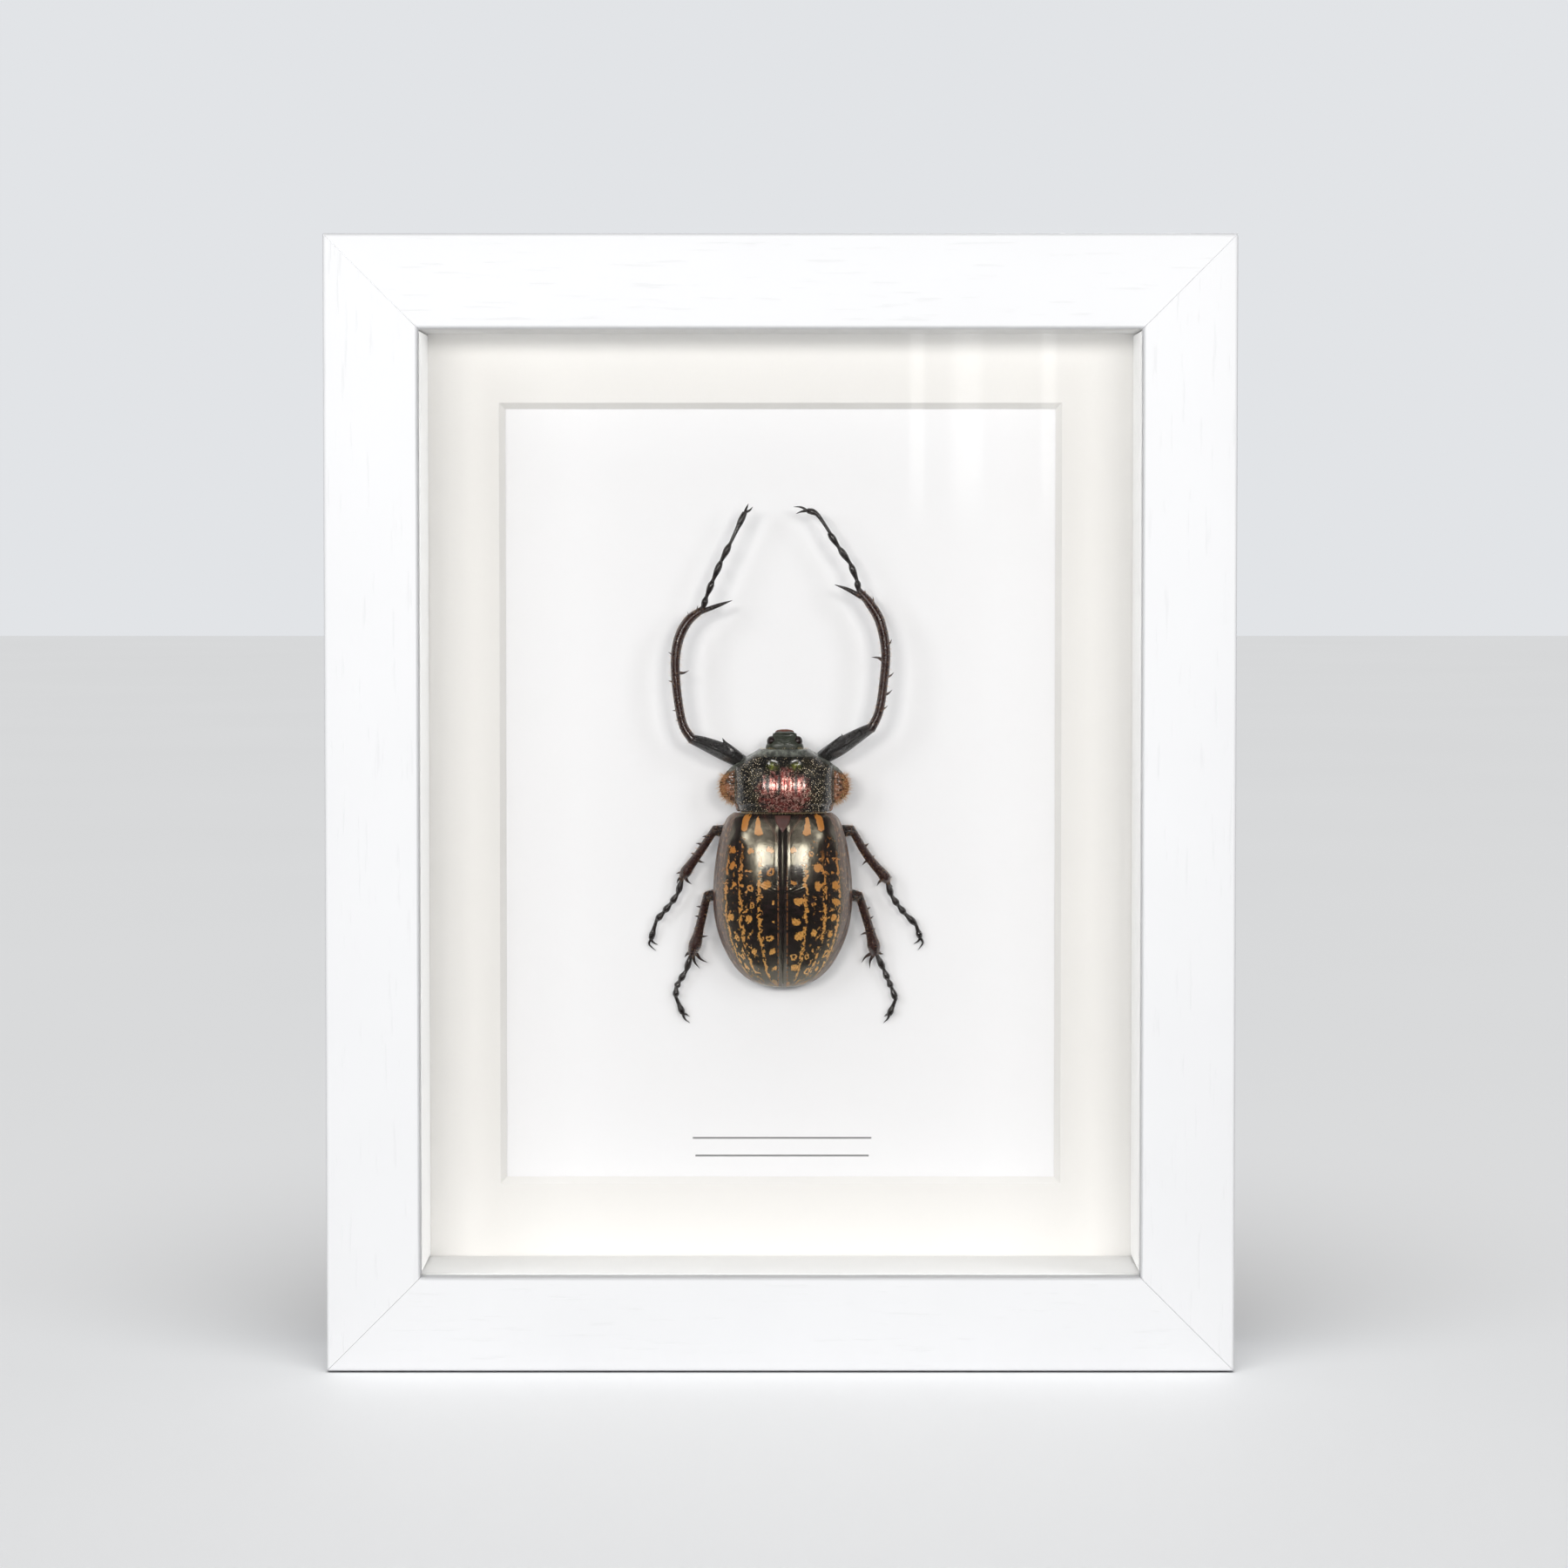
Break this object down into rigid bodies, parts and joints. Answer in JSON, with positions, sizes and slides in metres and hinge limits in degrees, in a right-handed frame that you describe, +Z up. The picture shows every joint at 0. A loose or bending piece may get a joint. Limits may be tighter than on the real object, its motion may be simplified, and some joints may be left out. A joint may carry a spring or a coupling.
{
  "type": "framed long-armed scarab specimen",
  "caption": "White wooden box frame with glass and a bevelled mat, holding a dried long-armed scarab glued flat to a white card.",
  "frame": {"origin": "middle of the frame's underside", "axes": "+Z up along the frame's height, -Y out of the front glass, +X to the right seen from the front"},
  "size_m": [0.2032, 0.038, 0.254],
  "materials": {
    "frame_paint": "white paint over fine open grain, satin",
    "glass": "clear, polished",
    "spacer_foam": "white paper-faced foam board, matt",
    "mat_board": "warm white mat board with a pale bevel",
    "card": "smooth white card with two rows of thin grey rules",
    "hardboard": "raw brown hardboard",
    "tab_steel": "thin bright steel",
    "hanger_brass": "brass plated, slightly dull",
    "elytra": "glossy blackish brown with rows of ochre spots",
    "pronotum_shell": "punctured glossy bronze green with a coppery middle",
    "head_shell": "punctured grey green, glossy",
    "leg_shell": "blackish red-brown, glossy",
    "body_shell": "dark brown with fine pale hair"
  },
  "bodies": {
    "root": {"frame_rail_top": "frame_paint", "spacer_top": "spacer_foam", "back_tab_top_1": "tab_steel", "back_tab_top_2": "tab_steel", "frame_rail_bottom": "frame_paint", "spacer_bottom": "spacer_foam", "back_tab_bottom_1": "tab_steel", "back_tab_bottom_2": "tab_steel", "frame_rail_left": "frame_paint", "spacer_left": "spacer_foam", "back_tab_left_1": "tab_steel", "back_tab_left_2": "tab_steel", "frame_rail_right": "frame_paint", "spacer_right": "spacer_foam", "back_tab_right_1": "tab_steel", "back_tab_right_2": "tab_steel", "glass_pane": "glass", "mat_board": "mat_board", "title_card": "card", "backing_board": "hardboard", "hanger_plate": "hanger_brass", "hanger_rivet_left": "hanger_brass", "hanger_rivet_right": "hanger_brass", "head": "head_shell", "pronotum": "pronotum_shell", "scutellum": "leg_shell", "elytron_left": "elytra", "elytron_right": "elytra", "hind_body": "body_shell", "fore_leg_left": "leg_shell", "fore_leg_right": "leg_shell", "mid_leg_left": "leg_shell", "mid_leg_right": "leg_shell", "hind_leg_left": "leg_shell", "hind_leg_right": "leg_shell"}
  },
  "joints": []
}
